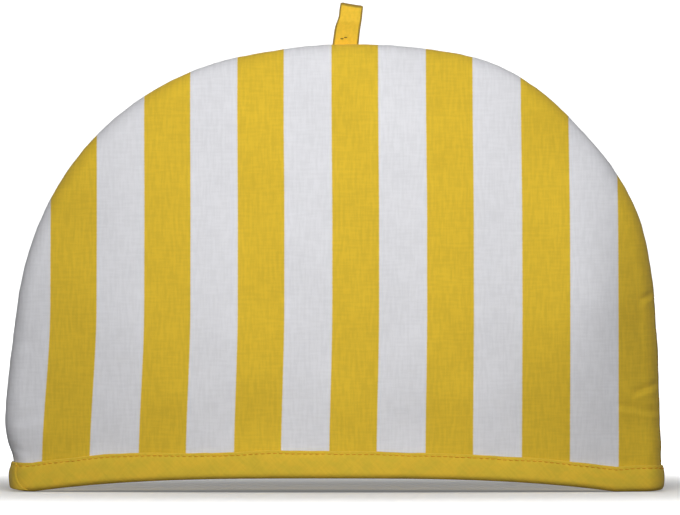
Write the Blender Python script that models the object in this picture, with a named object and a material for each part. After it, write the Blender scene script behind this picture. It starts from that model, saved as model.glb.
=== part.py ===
"""A padded tea cosy, standing open on its hem.

Two dome-shaped panels of wadded cotton meet in a seam that runs up one side, over the top and down
the other. A strip of cotton binds the open hem, and a short tape, doubled into a loop, stands on
the top of the seam. Metres, +Z up, the front panel towards -Y, the hem on Z = 0.
"""

import math

import bpy
import numpy as np

MM = 0.001

# The seam, seen from the front: straight sides through the hem band, and above them
# (|x| / half width) ** WIDTH_POWER + (height / full height) ** HEIGHT_POWER = 1.
SEAM_HALF_WIDTH = 172.1 * MM
SEAM_HEIGHT = 235.2 * MM
HEM_BAND = 15.0 * MM
WIDTH_POWER = 2.3
HEIGHT_POWER = 3.0
OUTLINE_STEPS = 6000

# Where the sewn seam swings out of that curve or into it: how far round from the hem's right end,
# over what width, and how far out.
SEAM_SWELLS = (
    {"turn": math.radians(23), "width": math.radians(4), "out": -0.6 * MM},
    {"turn": math.radians(36), "width": math.radians(6), "out": 1.7 * MM},
    {"turn": math.radians(52), "width": math.radians(6), "out": -1.6 * MM},
    {"turn": math.radians(69), "width": math.radians(7), "out": 1.7 * MM},
    {"turn": math.radians(102), "width": math.radians(6), "out": -0.9 * MM},
)

# How far each opened panel stands out from the seam, in Y.
PANEL_GAP = 0.3 * MM
RIM_RADIUS = 8.0 * MM
RIM_SHARE = 0.045  # of the way from the hem's middle to the seam
SPREAD = 32.0 * MM

# The wall of a panel: thin in the seam and under the binding, full between them.
FULL_HALF_WALL = 4.25 * MM
SEAM_HALF_WALL = 1.0 * MM
HEM_HALF_WALL = 2.3 * MM
FULL_WALL_HEIGHT = 38.0 * MM
WALL_SWELL_POWER = 2.3

# What keeps the standing cosy from being even: the top leans to the right, both ends of the hem are
# set over to the right of the seam above them, and the hem's middle arches clear of the surface.
APEX_LEAN = 8.6 * MM
PINCH_LEFT = 2.8 * MM
PINCH_RIGHT = 0.8 * MM
PINCH_INNER_X = 60.0 * MM
PINCH_OUTER_X = 168.0 * MM
PINCH_TOP = 30.0 * MM
ARCH_RISE = 7.8 * MM
ARCH_MIDDLE_X = -6.0 * MM
ARCH_HALF_SPAN = 154.0 * MM
ARCH_POWER = 3.0
ARCH_FADE_TOP = 205.0 * MM
CENTRING = -1.1 * MM  # puts the whole cosy's middle on X = 0

# The mesh of one panel: its columns and rows, the angles at which its rim has a row of points, and
# the rows below its body. A normal is taken across twice SLOPE_STEP.
PANEL_COLUMNS = 26
PANEL_ROWS = 13
RIM_SWINGS = tuple(math.radians(degrees) for degrees in (66, 43, 25, 11, 0))
HEM_ROWS = 2
SLOPE_STEP = 1e-4

# The binding: a strip folded under the hem, with a long outer leg and a shorter inner one.
CLOTH = 1.0 * MM
FIT_GAP = 0.3 * MM
OUTER_LEG = 14.5 * MM
INNER_LEG = 13.0 * MM
FOLD_RADIUS = 1.4 * MM

# The loop: two straight feet side by side, and a teardrop between them, seen from the side.
TAPE_THICKNESS = 1.2 * MM
TAPE_FOOT_WIDTH = 14.0 * MM
TAPE_TOP_WIDTH = 12.0 * MM
LOOP_HEIGHT = 21.0 * MM
LOOP_BULGE = 7.0 * MM
LOOP_NECK_POWER = 1.6
LOOP_FOOT_Y = 0.8 * MM
LOOP_FOOT_X = 5.9 * MM
LOOP_FOOT_Z = 237.4 * MM
LOOP_LEAN = math.radians(9.5)
LOOP_STEPS = 20
TAPE_COLUMNS = 4

SHARP_ANGLE = math.radians(50)


def smoothstep(low, high, value):
    """0 below low, 1 above high, and a smooth rise between them."""
    share = np.clip((value - low) / (high - low), 0, 1)
    return share * share * (3 - 2 * share)


# --- The middle surface of the front panel's wall ------------------------------------------------
#
# It is a function of a flat half disc of radius 2, whose straight side is the hem. Out to radius 1
# the panel curves gently. From 1 to 2 its rim swings round, through a quarter turn, to the seam.


def seam_line(turn):
    """X and height of the seam above the hem band, and its outward normal, at each turn.

    The turn is 0 at the hem's right end and pi at its left end, and is even along the seam.
    """
    angle = np.linspace(0, math.pi, OUTLINE_STEPS)
    rise = SEAM_HEIGHT - HEM_BAND
    x = SEAM_HALF_WIDTH * np.sign(np.cos(angle)) * np.abs(np.cos(angle)) ** (2 / WIDTH_POWER)
    z = rise * np.abs(np.sin(angle)) ** (2 / HEIGHT_POWER)
    z[[0, -1]] = 0
    length = np.concatenate([[0], np.cumsum(np.hypot(np.diff(x), np.diff(z)))])
    even_turn = math.pi * length / length[-1]
    x = np.interp(turn, even_turn, x)
    z = np.interp(turn, even_turn, z)
    normal_x = WIDTH_POWER * np.sign(x) * np.abs(x / SEAM_HALF_WIDTH) ** (WIDTH_POWER - 1) / SEAM_HALF_WIDTH
    normal_z = HEIGHT_POWER * (z / rise) ** (HEIGHT_POWER - 1) / rise
    size = np.hypot(normal_x, normal_z)
    normal_x, normal_z = normal_x / size, normal_z / size
    out = 0
    for swell in SEAM_SWELLS:
        out = out + swell["out"] * np.exp(-(((turn - swell["turn"]) / swell["width"]) ** 2))
    return x + out * normal_x, z + out * normal_z, normal_x, normal_z


def rim_swing(reach):
    """A right angle on the open panel, falling to 0 at the seam."""
    return np.clip(2 - reach, 0, 1) * math.pi / 2


def arch(x):
    """How far the hem's edge is lifted off the surface: an arch between its two resting ends."""
    share = np.clip(np.abs(x - ARCH_MIDDLE_X) / ARCH_HALF_SPAN, 0, 1)
    return ARCH_RISE * (1 - share**ARCH_POWER)


def settle(x, y, z):
    """The even dome's points, moved as the standing cosy leans, pinches in at the hem and arches."""
    pinch = PINCH_LEFT * smoothstep(PINCH_INNER_X, PINCH_OUTER_X, -x)
    pinch = pinch + PINCH_RIGHT * smoothstep(PINCH_INNER_X, PINCH_OUTER_X, x)
    lean = APEX_LEAN * (np.maximum(z - HEM_BAND, 0) / (SEAM_HEIGHT - HEM_BAND)) ** 2
    x = x + CENTRING + lean + pinch * (1 - smoothstep(HEM_BAND, PINCH_TOP, z))
    z = z + arch(x) * (1 - smoothstep(HEM_BAND, ARCH_FADE_TOP, z))
    return np.stack([x, y, z], axis=-1)


def wall_middle(flat_x, flat_z):
    """Points of the middle surface, at these points of the flat half disc."""
    flat_z = np.maximum(flat_z, 0)
    reach = np.minimum(np.hypot(flat_x, flat_z), 2)
    x, z, normal_x, normal_z = seam_line(np.arctan2(flat_z, flat_x))
    swing = rim_swing(reach)
    inset = RIM_RADIUS * (1 - np.cos(swing))
    inner = np.minimum(reach, 1)
    share = inner * (1 - RIM_SHARE * (1 - np.cos(swing)))
    depth = PANEL_GAP / 2 + RIM_RADIUS * np.sin(swing) + SPREAD * (1 - share**2)
    return settle(inner * (x - inset * normal_x), -depth, HEM_BAND + inner * (z - inset * normal_z))


def wall_normal(flat_x, flat_z):
    """Unit normals of the middle surface, out of the cosy."""
    along_x = wall_middle(flat_x + SLOPE_STEP, flat_z) - wall_middle(flat_x - SLOPE_STEP, flat_z)
    along_z = wall_middle(flat_x, flat_z + SLOPE_STEP) - wall_middle(flat_x, flat_z - SLOPE_STEP)
    normal = np.cross(along_x, along_z)
    return normal / np.linalg.norm(normal, axis=-1, keepdims=True)


def half_wall(flat_x, flat_z):
    """Half the wall's thickness, at these points of the flat half disc."""
    reach = np.hypot(flat_x, flat_z)
    swell = 1 - (1 - np.sin(rim_swing(reach))) ** WALL_SWELL_POWER
    body = SEAM_HALF_WALL + (FULL_HALF_WALL - SEAM_HALF_WALL) * swell
    _, z, _, _ = seam_line(np.arctan2(flat_z, flat_x))
    height = HEM_BAND + np.minimum(reach, 1) * z
    return HEM_HALF_WALL + (body - HEM_HALF_WALL) * smoothstep(HEM_BAND, FULL_WALL_HEIGHT, height)


# --- Meshes --------------------------------------------------------------------------------------


def grid_quads(index):
    """The quads of a grid of point numbers, whose rows run up and whose columns run to the right."""
    return np.stack([index[:-1, :-1], index[:-1, 1:], index[1:, 1:], index[1:, :-1]], axis=-1).reshape(-1, 4)


def thicken(points, normals, half, quads):
    """The closed solid that lies half a thickness to either side of an open sheet of quads."""
    count = len(points)
    offset = normals * np.broadcast_to(half, count)[:, None]
    edges = np.concatenate([quads[:, [0, 1]], quads[:, [1, 2]], quads[:, [2, 3]], quads[:, [3, 0]]])
    keys = edges[:, 0] * count + edges[:, 1]
    reversed_keys = edges[:, 1] * count + edges[:, 0]
    start, end = edges[~np.isin(keys, reversed_keys)].T
    side = np.stack([end, start, start + count, end + count], axis=-1)
    faces = np.concatenate([quads, quads[:, ::-1] + count, side])
    return np.concatenate([points + offset, points - offset]), faces


def cotton(name, color, roughness):
    """A plain cloth material."""
    material = bpy.data.materials.new(name)
    material.use_nodes = True
    material.diffuse_color = (*color, 1)
    shader = material.node_tree.nodes["Principled BSDF"]
    shader.inputs["Base Color"].default_value = (*color, 1)
    shader.inputs["Roughness"].default_value = roughness
    shader.inputs["Metallic"].default_value = 0
    return material


def add_object(name, points, faces, material):
    """A smooth-shaded mesh object, with its folds and cut edges kept sharp."""
    mesh = bpy.data.meshes.new(name)
    mesh.from_pydata(points.tolist(), [], faces.tolist())
    mesh.materials.append(material)
    mesh.shade_smooth()
    mesh.set_sharp_from_angle(angle=SHARP_ANGLE)
    made = bpy.data.objects.new(name, mesh)
    bpy.context.scene.collection.objects.link(made)
    return made


# --- The pieces ----------------------------------------------------------------------------------


def rim_radii():
    """Radii of the flat half disc at which the rim has a row of points."""
    return 2 - np.array(RIM_SWINGS) / (math.pi / 2)


def hem_stations():
    """Flat X of the points along the hem, from the left seam to the right one."""
    columns = np.linspace(-1, 1, PANEL_COLUMNS + 1)
    return np.concatenate([-rim_radii()[::-1], columns, rim_radii()])


def panel_grids():
    """Flat X and Z of one panel's points, and the quads between them: its body, its rim and its hem."""
    across, up = np.meshgrid(np.linspace(-1, 1, PANEL_COLUMNS + 1), np.linspace(0, 1, PANEL_ROWS + 1))
    body_x = across * np.sqrt(1 - up**2 / 2)
    body_z = up * np.sqrt(1 - across**2 / 2)
    body = np.arange(body_x.size).reshape(body_x.shape)
    border = np.concatenate([body[:-1, -1], body[-1, ::-1], body[-2::-1, 0]])
    turn = np.arctan2(body_z.ravel()[border], body_x.ravel()[border])
    rim_x = rim_radii()[:, None] * np.cos(turn)
    rim_z = rim_radii()[:, None] * np.abs(np.sin(turn))
    rim = body.size + np.arange(rim_x.size).reshape(rim_x.shape)
    hem_top = np.concatenate([rim[::-1, -1], body[0], rim[:, 0]])
    hem_x = np.tile(hem_stations(), HEM_ROWS)
    hem = body.size + rim.size + np.arange(hem_x.size).reshape(HEM_ROWS, -1)
    flat_x = np.concatenate([body_x.ravel(), rim_x.ravel(), hem_x])
    flat_z = np.concatenate([body_z.ravel(), rim_z.ravel(), np.zeros(hem_x.size)])
    below = np.zeros(flat_x.size)
    drops = (HEM_BAND - CLOTH - FIT_GAP) * np.arange(HEM_ROWS, 0, -1) / HEM_ROWS
    below[hem] = drops[:, None]
    quads = [grid_quads(body), grid_quads(np.vstack([border, rim]).T), grid_quads(np.vstack([hem, hem_top]))]
    return flat_x, flat_z, below, np.concatenate(quads)


def panel_solid():
    """Points and faces of the front panel: a padded dome whose hem hangs straight."""
    flat_x, flat_z, below, quads = panel_grids()
    points = wall_middle(flat_x, flat_z)
    points[:, 2] -= below
    return thicken(points, wall_normal(flat_x, flat_z), half_wall(flat_x, flat_z), quads)


def add_panels(material):
    """The front panel, and the back one as its mirror image."""
    points, faces = panel_solid()
    add_object("panel_front", points, faces, material)
    add_object("panel_back", points * (1, -1, 1), faces[:, ::-1], material)


def binding_profile():
    """Offset from the hem's middle line and height of each corner round the binding's section."""
    inner = HEM_HALF_WALL + FIT_GAP
    outer = inner + CLOTH
    fold = np.radians([0, 45, 90])
    fold_offset = outer - FOLD_RADIUS * (1 - np.cos(fold))
    fold_height = FOLD_RADIUS * (1 - np.sin(fold))
    outer_face = [(outer, OUTER_LEG), *zip(fold_offset, fold_height)]
    inner_face = [*zip(-fold_offset[::-1], fold_height[::-1]), (-outer, INNER_LEG)]
    groove = [(-inner, INNER_LEG), (-inner, CLOTH), (inner, CLOTH), (inner, OUTER_LEG)]
    return np.array([*outer_face, *inner_face, *groove])


def hem_ring():
    """Middle points and plan normals right round the hem, anticlockwise from its left seam."""
    flat_x = hem_stations()
    points = wall_middle(flat_x, np.zeros(flat_x.size))
    normals = wall_normal(flat_x, np.zeros(flat_x.size))
    points[[0, -1], 1] = 0
    points = np.concatenate([points, (points * (1, -1, 1))[-2:0:-1]])
    normals = np.concatenate([normals, (normals * (1, -1, 1))[-2:0:-1]])
    return points, normals


def add_binding(material):
    """The binding: its section swept round the hem."""
    middle, normals = hem_ring()
    offset, height = binding_profile().T
    x = middle[:, None, 0] + offset * normals[:, None, 0]
    y = middle[:, None, 1] + offset * normals[:, None, 1]
    z = height + arch(middle[:, None, 0])
    points = np.stack([x, y, z], axis=-1)
    index = np.arange(x.size).reshape(x.shape)
    closed = np.pad(index, ((0, 1), (0, 1)), mode="wrap")
    add_object("hem_binding", points.reshape(-1, 3), grid_quads(closed), material)


def tape_middle(way, across):
    """Middle surface of the loop's tape: way runs from -1 at the front foot to 1 at the back one."""
    angle = way * math.pi
    height = LOOP_HEIGHT * (1 + np.cos(angle)) / 2
    bulge = LOOP_BULGE * np.sin(angle) * np.abs(np.cos(angle / 2)) ** LOOP_NECK_POWER
    y = bulge + LOOP_FOOT_Y * np.sin(angle / 2)
    share = height / LOOP_HEIGHT
    side = across * (TAPE_FOOT_WIDTH + (TAPE_TOP_WIDTH - TAPE_FOOT_WIDTH) * share) / 2
    x = LOOP_FOOT_X + CENTRING + side + height * math.tan(LOOP_LEAN)
    z = LOOP_FOOT_Z + height - side * math.sin(LOOP_LEAN) * smoothstep(0, 1, share)
    return np.stack([x, y, z], axis=-1)


def add_loop(material):
    """The loop: a short tape doubled over, with its two feet side by side on the seam."""
    ways = np.linspace(-1, 1, LOOP_STEPS + 1)
    way, across = np.meshgrid(ways, np.linspace(-1, 1, TAPE_COLUMNS + 1), indexing="ij")
    along = tape_middle(way + SLOPE_STEP, across) - tape_middle(way - SLOPE_STEP, across)
    aside = tape_middle(way, across + SLOPE_STEP) - tape_middle(way, across - SLOPE_STEP)
    normals = np.cross(aside, along).reshape(-1, 3)
    normals = normals / np.linalg.norm(normals, axis=-1, keepdims=True)
    index = np.arange(way.size).reshape(way.shape)
    points = tape_middle(way, across).reshape(-1, 3)
    points, faces = thicken(points, normals, TAPE_THICKNESS / 2, grid_quads(index))
    add_object("hanging_loop", points, faces, material)


def clear_scene():
    for old in list(bpy.data.objects):
        bpy.data.objects.remove(old)


def main():
    clear_scene()
    add_panels(cotton("panel_cotton", (0.78, 0.60, 0.16), 0.9))
    add_binding(cotton("binding_cotton", (0.72, 0.48, 0.06), 0.9))
    add_loop(cotton("loop_tape", (0.80, 0.50, 0.05), 0.85))


main()
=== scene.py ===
"""The looks of a padded tea cosy that stands open on its hem.

Two panels of striped cotton, wadded and lined, meet in a seam over the top. A folded strip of plain
cotton binds the hem, lock-stitched through, and a doubled tape stands in the top of the seam.
Metres, +Z up, the front panel towards -Y, the hem on Z = 0.
"""

import logging
import math
from dataclasses import dataclass, field
from enum import Enum
from typing import Any

import bpy
import numpy as np
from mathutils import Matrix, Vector


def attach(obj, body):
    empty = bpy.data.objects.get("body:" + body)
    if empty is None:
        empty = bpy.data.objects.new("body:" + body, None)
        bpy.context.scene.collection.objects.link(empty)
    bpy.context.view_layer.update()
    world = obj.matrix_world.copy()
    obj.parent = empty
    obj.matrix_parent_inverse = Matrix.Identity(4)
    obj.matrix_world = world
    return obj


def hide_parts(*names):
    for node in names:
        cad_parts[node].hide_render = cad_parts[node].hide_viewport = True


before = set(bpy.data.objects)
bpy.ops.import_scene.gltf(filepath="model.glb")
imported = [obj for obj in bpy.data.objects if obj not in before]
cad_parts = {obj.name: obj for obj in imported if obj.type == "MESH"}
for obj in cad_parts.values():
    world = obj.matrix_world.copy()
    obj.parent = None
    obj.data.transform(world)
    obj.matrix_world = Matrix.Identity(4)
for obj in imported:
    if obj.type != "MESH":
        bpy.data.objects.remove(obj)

Array = np.ndarray
Waves = tuple[tuple[float, ...], ...]
Span = tuple[float, float]
Color = tuple[float, float, float]
Material = bpy.types.Material
Object = bpy.types.Object

LOG = logging.getLogger("tea_cosy")
MM = 0.001
ROOT = "root"
CLOTH_UV = "cloth"  # U and V run along the threads, in metres
ACROSS_STRIPES = "across_stripes"  # how far across the stripes each point is, in metres
THREAD_RINGS = 7
THREAD_SIDES = 6
THREAD_TIP = 0.35  # a thread's radius at its ends, as a share of the one in its middle


# --- Shapes and meshes -----------------------------------------------------------------------------


def smoothstep(low: float, high: float, value: Array) -> Array:
    """0 below low, 1 above high, and a smooth rise between them: 3 t squared minus 2 t cubed."""
    share = np.clip((value - low) / (high - low), 0, 1)
    return share * share * (3 - 2 * share)


def bell(value: Array, width: float) -> Array:
    """1 at zero, falling off to both sides as e to the power of minus (value / width) squared."""
    return np.exp(-((value / width) ** 2))


def bells(value: Array, table: Waves) -> Array:
    """A sum of bells, from a row for each: where it is, its width and its height."""
    return sum(height * bell(value - place, width) for place, width, height in table)


def travelled(steps: Array) -> Array:
    """How far along a line each of its points is: 0, and then the sum of the steps up to it."""
    return np.concatenate([[0], np.cumsum(steps)])


def shown(name: str, data: Any) -> Object:
    """Adds a mesh, a light or a camera to the scene.

    Args:
        name: The object's name.
        data: The mesh, the light or the camera.

    Returns:
        The object.
    """
    made = bpy.data.objects.new(name, data)
    bpy.context.scene.collection.objects.link(made)
    return made


def corners(grid: Array) -> Array:
    """The four corner values of each cell of a grid, anticlockwise from its lower left one.

    Args:
        grid: Values whose rows run up and whose columns run to the right.

    Returns:
        One row of four values for each cell.
    """
    cells = np.stack([grid[:-1, :-1], grid[:-1, 1:], grid[1:, 1:], grid[1:, :-1]], axis=2)
    return cells.reshape(-1, 4, *grid.shape[2:])


def waves(along: Array, across: Array, table: Waves) -> Array:
    """A gently uneven surface: the sum of sine waves that run in different directions.

    Args:
        along: First coordinate of each point, in metres.
        across: Second coordinate of each point, in metres.
        table: A row for each wave: its length, its direction in degrees, its phase and its height.

    Returns:
        The height at each point.
    """
    height = np.zeros(np.broadcast(along, across).shape)
    for length, degrees, phase, tall in table:
        way = along * math.cos(math.radians(degrees)) + across * math.sin(math.radians(degrees))
        height += tall * np.sin(2 * math.pi * way / length + phase)
    return height


@dataclass
class Surface:
    """Points, faces and cloth coordinates on their way into one mesh.

    Attributes:
        points: One row of X, Y and Z for each point.
        quads: One row of four point numbers for each face.
        cloth: The U and V of each corner of each face.
        finish: The number of each face's finish.
        stripes: How far across the stripes each point is, on a striped piece.
    """

    points: Array
    quads: Array
    cloth: Array
    finish: Array
    stripes: Array | None = None

    def mirrored(self) -> "Surface":
        """The same surface on the other side of Y = 0, still facing outwards."""
        points = self.points * (1, -1, 1)
        return Surface(points, self.quads[:, ::-1], self.cloth[:, ::-1], self.finish, self.stripes)

    def piece(self, name: str, finishes: list[Material], sharp_degrees: float = 60) -> Object:
        """Makes the mesh object, smooth but for its sharp folds.

        Args:
            name: The piece's name.
            finishes: The materials that the finish numbers stand for.
            sharp_degrees: Faces that meet at more than this stay sharp.

        Returns:
            The new object, at the origin, in the scene.
        """
        mesh = bpy.data.meshes.new(name)
        mesh.from_pydata(self.points.tolist(), [], self.quads.tolist())
        layer = mesh.uv_layers.new(name=CLOTH_UV)
        layer.data.foreach_set("uv", self.cloth.astype(np.float32).ravel())
        for finish in finishes:
            mesh.materials.append(finish)
        mesh.polygons.foreach_set("material_index", self.finish.astype(np.int32))
        if self.stripes is not None:
            across = mesh.attributes.new(ACROSS_STRIPES, "FLOAT", "POINT")
            across.data.foreach_set("value", self.stripes.astype(np.float32))
        mesh.shade_smooth()
        mesh.set_sharp_from_angle(angle=math.radians(sharp_degrees))
        return shown(name, mesh)


def sheet_solid(
    outer: Array, inner: Array, quads: Array, cloth: Array, inner_finish: int = 0
) -> Surface:
    """The closed solid between two skins of one open sheet, with a face round its border.

    Args:
        outer: Points of the outer skin.
        inner: The point of the inner skin behind each of them.
        quads: The sheet's faces, as seen from outside.
        cloth: U and V of each point of the sheet.
        inner_finish: The finish number of the inner skin.

    Returns:
        The solid as a surface.
    """
    count = len(outer)
    edges = np.concatenate([quads[:, [0, 1]], quads[:, [1, 2]], quads[:, [2, 3]], quads[:, [3, 0]]])
    inside = np.isin(edges[:, 0] * count + edges[:, 1], edges[:, 1] * count + edges[:, 0])
    start, end = edges[~inside].T
    border = np.stack([end, start, start + count, end + count], axis=-1)
    faces = np.concatenate([quads, quads[:, ::-1] + count, border])
    finish = np.repeat([0, inner_finish, 0], [len(quads), len(quads), len(border)])
    return Surface(np.concatenate([outer, inner]), faces, np.concatenate([cloth, cloth])[faces], finish)


def grid_normals(points: Array) -> Array:
    """Unit normals of a grid of points: the cross product of its column and row directions."""
    normal = np.cross(np.gradient(points, axis=1), np.gradient(points, axis=0))
    return normal / np.linalg.norm(normal, axis=-1, keepdims=True)


def threads(middle: Array, outward: Array, radius: float, length: float, leftward: bool = False) -> Surface:
    """Short round threads, thin at both ends.

    Args:
        middle: The middle points of each thread, a row for each thread.
        outward: The way out of the cloth at each point.
        radius: A thread's radius in its middle.
        length: A thread's length.
        leftward: Whether the threads run to the left, seen from outside the cloth.

    Returns:
        All of them as one surface.
    """
    count, rings, sides = len(middle), THREAD_RINGS, THREAD_SIDES
    outward = outward / np.linalg.norm(outward, axis=-1, keepdims=True)
    share = np.linspace(0, 1, rings)
    angle = np.arange(sides) * 2 * math.pi / sides
    size = radius * (THREAD_TIP + (1 - THREAD_TIP) * np.sin(math.pi * share) ** 0.5)[:, None]
    out, rise = size * np.cos(angle), size * np.sin(angle)
    points = middle[:, :, None] + out[..., None] * outward[:, :, None]
    points = points + rise[..., None] * np.array([0, 0, 1])
    index = np.arange(count * rings * sides).reshape(count, rings, sides)
    index = np.concatenate([index, index[..., :1]], axis=2)
    quads = np.stack([index[:, :-1, :-1], index[:, :-1, 1:], index[:, 1:, 1:], index[:, 1:, :-1]], axis=-1)
    u, v = np.meshgrid(length * share, np.arange(sides + 1) / sides, indexing="ij")
    cloth = np.tile(corners(np.stack([u, v], axis=-1)), (count, 1, 1))
    first, last = index[:, 0], index[:, -1]
    ends = [first[:, [0, 3, 2, 1]], first[:, [0, 5, 4, 3]], last[:, [0, 1, 2, 3]], last[:, [0, 3, 4, 5]]]
    faces = np.concatenate([quads.reshape(-1, 4), *ends])
    cloth = np.concatenate([cloth, np.zeros((4 * count, 4, 2))])
    if not leftward:  # its rings wind the other way round, so its faces are turned over
        faces, cloth = faces[:, ::-1], cloth[:, ::-1]
    return Surface(points.reshape(-1, 3), faces, cloth, np.zeros(len(faces)))


def dress(piece: Object, slot: str, *nodes: str) -> Object:
    """Fixes a piece to the cosy and hides the plain solids that it stands for.

    Args:
        piece: The piece.
        slot: Not used.
        *nodes: The plain solids.

    Returns:
        The piece.
    """
    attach(piece, ROOT)
    if nodes:
        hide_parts(*nodes)
    LOG.info("%s: %d faces", piece.name, len(piece.data.polygons))
    return piece


# --- Finishes --------------------------------------------------------------------------------------


class Wiring:
    """Adds nodes to a material or a world, and links the inputs that are given as sockets."""

    def __init__(self, owner: Any) -> None:
        """Starts the nodes of a new material or world: its own shader and output."""
        owner.use_nodes = True
        self.tree = owner.node_tree

    def node(self, kind: str, inputs: dict[Any, Any], output: int | str = 0, **settings: Any) -> Any:
        """Adds one node.

        Args:
            kind: The node's type, without its ShaderNode prefix.
            inputs: A value or a socket for each input that isn't left alone.
            output: The number or name of the output that is wanted.
            **settings: The node's own settings.

        Returns:
            The output socket.
        """
        made = self.tree.nodes.new("ShaderNode" + kind)
        for key, value in settings.items():
            setattr(made, key, value)
        self.feed(made, inputs)
        return made.outputs[output]

    def feed(self, node: Any, inputs: dict[Any, Any]) -> None:
        """Sets or links a node's inputs.

        Args:
            node: The node.
            inputs: A value or a socket for each input that isn't left alone.
        """
        for key, value in inputs.items():
            if isinstance(value, bpy.types.NodeSocket):
                self.tree.links.new(value, node.inputs[key])
            else:
                node.inputs[key].default_value = value

    def math(self, operation: str, *values: Any) -> Any:
        """One arithmetic step on values or sockets."""
        return self.node("Math", dict(enumerate(values)), operation=operation)

    def axes(self, vector: Any) -> Any:
        """Takes a vector apart.

        Args:
            vector: The vector's socket.

        Returns:
            The sockets of X, Y and Z.
        """
        made = self.tree.nodes.new("ShaderNodeSeparateXYZ")
        self.feed(made, {0: vector})
        return made.outputs

    def mix(self, share: Any, first: Any, second: Any) -> Any:
        """The colour that lies this share of the way from the first colour to the second."""
        return self.node("Mix", {0: share, 6: first, 7: second}, output=2, data_type="RGBA")

    def blend(self, share: Any, first: Any, second: Any) -> Any:
        """The number that lies this share of the way from the first one to the second."""
        return self.node("Mix", {0: share, 2: first, 3: second})

    def noise(self, vector: Any, stretch: tuple[float, float, float], detail: float = 2.0) -> Any:
        """Cloudy noise from 0 to 1, with this many lumps a metre along each axis."""
        place = self.node("Mapping", {"Vector": vector, "Scale": stretch})
        return self.node("TexNoise", {"Vector": place, "Scale": 1.0, "Detail": detail, "Roughness": 0.5})

    def ease(self, value: Any, low: float, high: float, bottom: float, top: float) -> Any:
        """Carries a value from one range to another, smoothly and no further than its ends."""
        inputs = {"Value": value, 1: low, 2: high, 3: bottom, 4: top}
        return self.node("MapRange", inputs, interpolation_type="SMOOTHSTEP")


def rgba(color: Color) -> tuple[float, float, float, float]:
    """A linear colour as Blender's sockets take it."""
    return (*color, 1.0)


@dataclass(frozen=True)
class Weave:
    """A plain weave: how its threads lie and how uneven they are.

    Attributes:
        thread: From one thread to the next.
        turned_degrees: How far the threads are turned from the piece's own edge.
        lift: How far a thread stands up as it passes over the next.
        slub_length: How long a thick stretch of thread is.
        slub_width: How wide a bundle of thick threads is.
        slub_shade: How much lighter or darker the slubs are.
        upright_share: How much the slubs of the upright threads show.
        level_share: How much those of the level threads show.
        slub_noise: From the darkest slubs to the lightest, on the sum of both noises.
        mottles: Broad patches to a metre.
        mottle_shade: How much lighter or darker they are.
        mottle_noise: From the darkest patches to the lightest, on their noise.
    """

    thread: float = 0.38 * MM
    turned_degrees: float = 0.0
    lift: float = 0.035 * MM
    slub_length: float = 10.0 * MM
    slub_width: float = 1.3 * MM
    slub_shade: float = 0.038
    upright_share: float = 1.2
    level_share: float = 0.8
    slub_noise: Span = (0.7, 1.3)
    mottles: float = 28.0
    mottle_shade: float = 0.02
    mottle_noise: Span = (0.3, 0.7)

    def lay(self, wiring: Wiring) -> tuple[Any, Any, Any]:
        """Adds the weave's nodes.

        Args:
            wiring: The material that the weave goes into.

        Returns:
            The unturned cloth coordinate, the shade to multiply the colour by, and the height of
            the cloth's surface in metres.
        """
        cloth = wiring.node("UVMap", {}, uv_map=CLOTH_UV)
        turn = (0.0, 0.0, math.radians(self.turned_degrees))
        laid = wiring.node("Mapping", {"Vector": cloth, "Rotation": turn})
        ways = [wiring.math("MULTIPLY", way, math.pi / self.thread) for way in wiring.axes(laid)[:2]]
        crossing = wiring.math("MULTIPLY", *(wiring.math("SINE", way) for way in ways))
        fine, long = 1 / self.slub_width, 1 / self.slub_length
        upright = wiring.noise(laid, (fine, long, 1.0))
        level = wiring.math("MULTIPLY", wiring.noise(laid, (long, fine, 1.0)), self.level_share)
        slubs = wiring.math("MULTIPLY_ADD", upright, self.upright_share, level)
        broad = wiring.noise(laid, (self.mottles, self.mottles, 1.0))
        shade = wiring.ease(slubs, *self.slub_noise, 1 - self.slub_shade, 1 + self.slub_shade)
        patches = wiring.ease(broad, *self.mottle_noise, 1 - self.mottle_shade, 1 + self.mottle_shade)
        raised = wiring.math("MULTIPLY", slubs, self.lift)
        height = wiring.math("MULTIPLY_ADD", crossing, self.lift / 2, raised)
        return cloth, wiring.math("MULTIPLY", shade, patches), height


class Finish:
    """What every finish of the cosy can do: make its material, and join a cloth to its shader."""

    name: str
    roughness: float
    sheen: float
    sheen_roughness: float = 0.5
    specular: float = 0.2

    def material(self) -> Material:
        """Makes the material.

        Returns:
            The material.
        """
        made = bpy.data.materials.new(self.name)
        self.wire(Wiring(made))
        return made

    def join(self, wiring: Wiring, color: Any, shade: Any, height: Any) -> None:
        """Joins a cloth's colour, shade and surface to its shader.

        Args:
            wiring: The cloth's material.
            color: The socket of its colour.
            shade: What the colour is multiplied by.
            height: The socket of its surface's height, in metres.
        """
        toned = wiring.node("VectorMath", {0: color, 3: shade}, operation="SCALE")
        bumped = wiring.node("Bump", {"Height": height, "Strength": 1.0, "Distance": 1.0})
        cloth = {"Base Color": toned, "Normal": bumped, "Roughness": self.roughness}
        gloss = {"Specular IOR Level": self.specular, "Sheen Roughness": self.sheen_roughness}
        cloth.update(gloss, **{"Sheen Weight": self.sheen})
        wiring.feed(wiring.tree.nodes["Principled BSDF"], cloth)


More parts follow.
